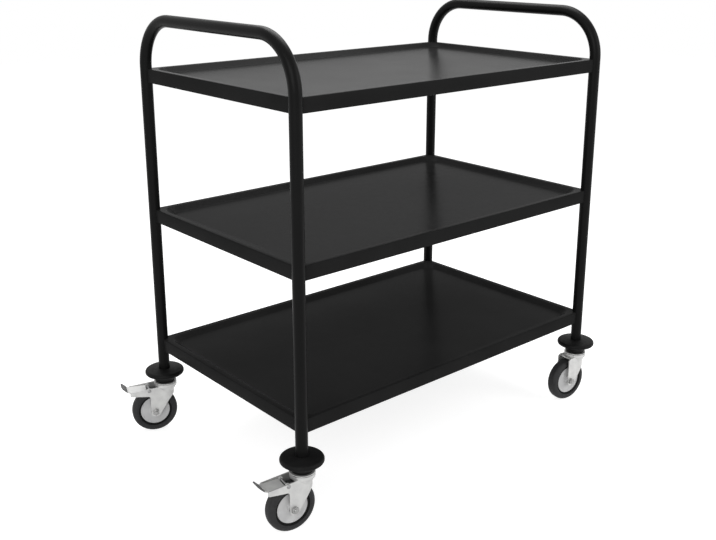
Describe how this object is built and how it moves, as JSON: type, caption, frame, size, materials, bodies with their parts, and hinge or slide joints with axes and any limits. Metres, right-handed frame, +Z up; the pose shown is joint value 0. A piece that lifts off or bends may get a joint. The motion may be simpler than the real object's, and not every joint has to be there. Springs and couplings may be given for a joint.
{
  "type": "serving cart",
  "caption": "Tiered serving cart: bent tube end frames with push handles, sunk sheet trays between them, saucer bumpers and swivel casters with foot brakes at one end.",
  "frame": {"origin": "on the floor, midway between the four legs", "axes": "+X along the trays, away from the braked end; +Y towards the back; +Z up"},
  "size_m": [0.9684, 0.5944, 0.9255],
  "materials": {
    "frame_coat": "satin black powder coat",
    "tray_coat": "satin black powder coat",
    "fork_zinc": "bright zinc plate",
    "fastener_zinc": "bright zinc plate",
    "pin_steel": "bare steel",
    "ball_steel": "polished",
    "bumper_rubber": "satin",
    "tyre_rubber": "matt",
    "shoe_rubber": "matt",
    "wheel_plastic": "matt",
    "cover_plastic": "fine matt",
    "socket_plastic": "matt"
  },
  "bodies": {
    "cart_frame": {"left_end_frame": "frame_coat", "right_end_frame": "frame_coat", "top_tray": "tray_coat", "middle_tray": "tray_coat", "bottom_tray": "tray_coat", "tray_gussets": "tray_coat", "tray_bolts": "fastener_zinc", "tube_inserts": "fastener_zinc", "front_left_caster_socket": "socket_plastic", "front_left_bumper": "bumper_rubber", "front_left_caster_stem": "fork_zinc", "rear_left_caster_socket": "socket_plastic", "rear_left_bumper": "bumper_rubber", "rear_left_caster_stem": "fork_zinc", "front_right_caster_socket": "socket_plastic", "front_right_bumper": "bumper_rubber", "front_right_caster_stem": "fork_zinc", "rear_right_caster_socket": "socket_plastic", "rear_right_bumper": "bumper_rubber", "rear_right_caster_stem": "fork_zinc"},
    "front_left_caster": {"front_left_fork": "fork_zinc", "front_left_swivel_balls": "ball_steel", "front_left_axle_bolt": "fastener_zinc", "front_left_axle_nut": "fastener_zinc", "front_left_axle_sleeve": "fastener_zinc", "front_left_brake_pin": "pin_steel"},
    "front_left_wheel": {"front_left_wheel_core": "wheel_plastic", "front_left_tyre": "tyre_rubber", "front_left_wheel_covers": "cover_plastic"},
    "front_left_brake": {"front_left_brake_pedal": "fork_zinc", "front_left_brake_shoe": "shoe_rubber"},
    "rear_left_caster": {"rear_left_fork": "fork_zinc", "rear_left_swivel_balls": "ball_steel", "rear_left_axle_bolt": "fastener_zinc", "rear_left_axle_nut": "fastener_zinc", "rear_left_axle_sleeve": "fastener_zinc", "rear_left_brake_pin": "pin_steel"},
    "rear_left_wheel": {"rear_left_wheel_core": "wheel_plastic", "rear_left_tyre": "tyre_rubber", "rear_left_wheel_covers": "cover_plastic"},
    "rear_left_brake": {"rear_left_brake_pedal": "fork_zinc", "rear_left_brake_shoe": "shoe_rubber"},
    "front_right_caster": {"front_right_fork": "fork_zinc", "front_right_swivel_balls": "ball_steel", "front_right_axle_bolt": "fastener_zinc", "front_right_axle_nut": "fastener_zinc", "front_right_axle_sleeve": "fastener_zinc"},
    "front_right_wheel": {"front_right_wheel_core": "wheel_plastic", "front_right_tyre": "tyre_rubber", "front_right_wheel_covers": "cover_plastic"},
    "rear_right_caster": {"rear_right_fork": "fork_zinc", "rear_right_swivel_balls": "ball_steel", "rear_right_axle_bolt": "fastener_zinc", "rear_right_axle_nut": "fastener_zinc", "rear_right_axle_sleeve": "fastener_zinc"},
    "rear_right_wheel": {"rear_right_wheel_core": "wheel_plastic", "rear_right_tyre": "tyre_rubber", "rear_right_wheel_covers": "cover_plastic"}
  },
  "joints": [
    {"name": "front_left_swivel", "type": "hinge", "parent": "cart_frame", "child": "front_left_caster", "pos_m": [-0.414, -0.252, 0.104], "axis": [0, 0, 1], "continuous": true},
    {"name": "front_left_wheel_spin", "type": "hinge", "parent": "front_left_caster", "child": "front_left_wheel", "pos_m": [-0.44068, -0.24787, 0.05], "axis": [-0.153, -0.9882, 0], "continuous": true},
    {"name": "front_left_brake_press", "type": "hinge", "parent": "front_left_caster", "child": "front_left_brake", "pos_m": [-0.45205, -0.24611, 0.102], "axis": [-0.153, -0.9882, 0], "range_deg": [0, 13]},
    {"name": "rear_left_swivel", "type": "hinge", "parent": "cart_frame", "child": "rear_left_caster", "pos_m": [-0.414, 0.252, 0.104], "axis": [0, 0, 1], "continuous": true},
    {"name": "rear_left_wheel_spin", "type": "hinge", "parent": "rear_left_caster", "child": "rear_left_wheel", "pos_m": [-0.43916, 0.26181, 0.05], "axis": [-0.3633, -0.9317, 0], "continuous": true},
    {"name": "rear_left_brake_press", "type": "hinge", "parent": "rear_left_caster", "child": "rear_left_brake", "pos_m": [-0.44987, 0.26599, 0.102], "axis": [-0.3633, -0.9317, 0], "range_deg": [0, 13]},
    {"name": "front_right_swivel", "type": "hinge", "parent": "cart_frame", "child": "front_right_caster", "pos_m": [0.414, -0.252, 0.104], "axis": [0, 0, 1], "continuous": true},
    {"name": "front_right_wheel_spin", "type": "hinge", "parent": "front_right_caster", "child": "front_right_wheel", "pos_m": [0.38723, -0.24848, 0.05], "axis": [-0.1305, -0.9914, 0], "continuous": true},
    {"name": "rear_right_swivel", "type": "hinge", "parent": "cart_frame", "child": "rear_right_caster", "pos_m": [0.414, 0.252, 0.104], "axis": [0, 0, 1], "continuous": true},
    {"name": "rear_right_wheel_spin", "type": "hinge", "parent": "rear_right_caster", "child": "rear_right_wheel", "pos_m": [0.38726, 0.25576, 0.05], "axis": [-0.1392, -0.9903, 0], "continuous": true}
  ]
}
